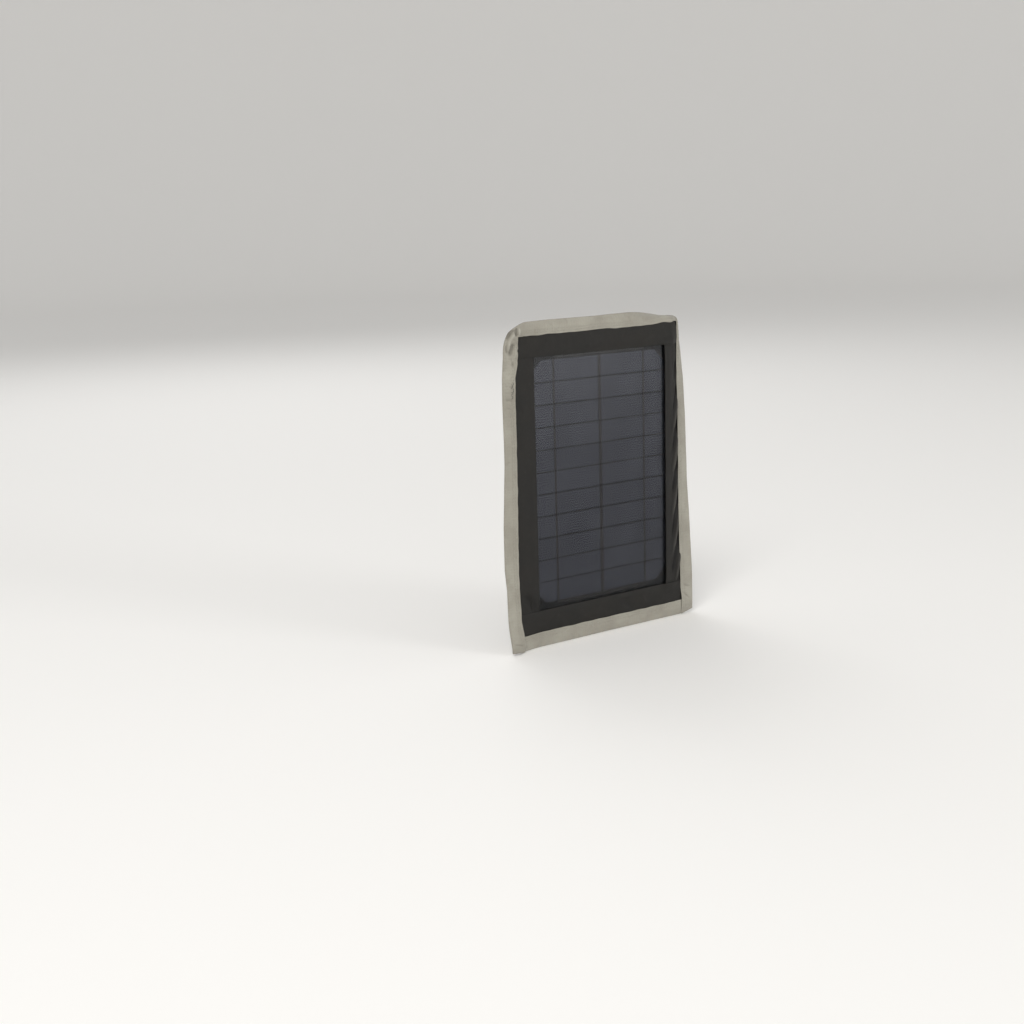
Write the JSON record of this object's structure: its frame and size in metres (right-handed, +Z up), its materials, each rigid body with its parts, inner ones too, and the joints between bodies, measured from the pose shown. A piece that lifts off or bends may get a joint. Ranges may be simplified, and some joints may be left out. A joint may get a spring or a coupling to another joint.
{
  "type": "solar panel",
  "caption": "Upright soft-framed solar panel for a bag: strip cells behind a clear film, dark cloth borders, light edge tape, and a charging box under a rear flap.",
  "frame": {"origin": "centre of the outer face of the upper strip of hook tape, on the back, where the panel is hung", "axes": "+Z up as hung, +X to the right seen from the front, the cells face -Y, and +Y points back into the bag"},
  "size_m": [0.222, 0.0181, 0.3],
  "materials": {
    "coated_border_fabric": "smooth dark polyurethane-coated cloth, satin",
    "back_fabric": "dark woven nylon, matt",
    "binding_tape": "warm grey ribbed grosgrain tape",
    "thread": "grey polyester thread",
    "foam": "closed-cell foam sheet, matt",
    "hook_tape": "black hook tape",
    "loop_tape": "black loop tape, fuzzy",
    "flap_fabric": "dark woven nylon, matt",
    "laminate_board": "brown-black glass-fibre board",
    "encapsulant": "clear, bonded",
    "front_film": "clear, satin gloss",
    "cell": "dark blue-grey monocrystalline silicon with fine finger lines",
    "ribbon": "tinned copper ribbon, darkened",
    "case_plastic": "fine moulded grain",
    "seal_rubber": "soft",
    "cover_rubber": "satin moulded rubber",
    "steel": "plain",
    "clear_pipe": "clear moulded rod",
    "circuit_board": "green solder mask",
    "component_black": "moulded",
    "can_metal": "plain can",
    "lamp": "small lamp package",
    "socket_insert": "white moulded",
    "contact_metal": "gold-plated",
    "lead_wire": "insulated wire"
  },
  "bodies": {
    "panel": {"back_fabric": "back_fabric", "foam_frame": "foam", "border_top": "coated_border_fabric", "border_bottom": "coated_border_fabric", "border_left": "coated_border_fabric", "border_right": "coated_border_fabric", "edge_binding_upper": "binding_tape", "edge_binding_bottom": "binding_tape", "binding_thread": "thread", "hook_tape_upper": "hook_tape", "hook_tape_lower": "hook_tape", "backsheet_board": "laminate_board", "rear_encapsulant": "encapsulant", "front_encapsulant": "encapsulant", "front_film": "front_film", "cell_ribbons_left": "ribbon", "cell_ribbons_centre": "ribbon", "cell_ribbons_right": "ribbon", "cross_ribbon_top": "ribbon", "cross_ribbon_bottom": "ribbon", "case_base": "case_plastic", "case_lid": "case_plastic", "lid_seal": "seal_rubber", "lid_screws": "steel", "light_pipe": "clear_pipe", "circuit_board": "circuit_board", "lead_wires": "lead_wire", "inductor": "component_black", "regulator_chip": "component_black", "blocking_diode": "component_black", "status_led": "lamp", "capacitors": "can_metal", "usb_shell": "steel", "usb_tongue": "socket_insert", "usb_contacts": "contact_metal", "port_cover_pin": "steel", "flap_loop_patch": "loop_tape", "cell_01": "cell", "cell_02": "cell", "cell_03": "cell", "cell_04": "cell", "cell_05": "cell", "cell_06": "cell", "cell_07": "cell", "cell_08": "cell", "cell_09": "cell", "cell_10": "cell", "cell_11": "cell"},
    "port_cover": {"port_cover": "cover_rubber"},
    "cover_flap": {"cover_flap": "flap_fabric", "flap_hook_patch": "hook_tape"}
  },
  "joints": [
    {"name": "port_cover_hinge", "type": "hinge", "parent": "panel", "child": "port_cover", "pos_m": [0.037, 0.00445, -0.0856], "axis": [0, -1, 0], "range_deg": [0, 110]},
    {"name": "flap_hinge", "type": "hinge", "parent": "panel", "child": "cover_flap", "pos_m": [0, -0.0008, -0.0624], "axis": [1, 0, 0], "range_deg": [0, 115]}
  ]
}
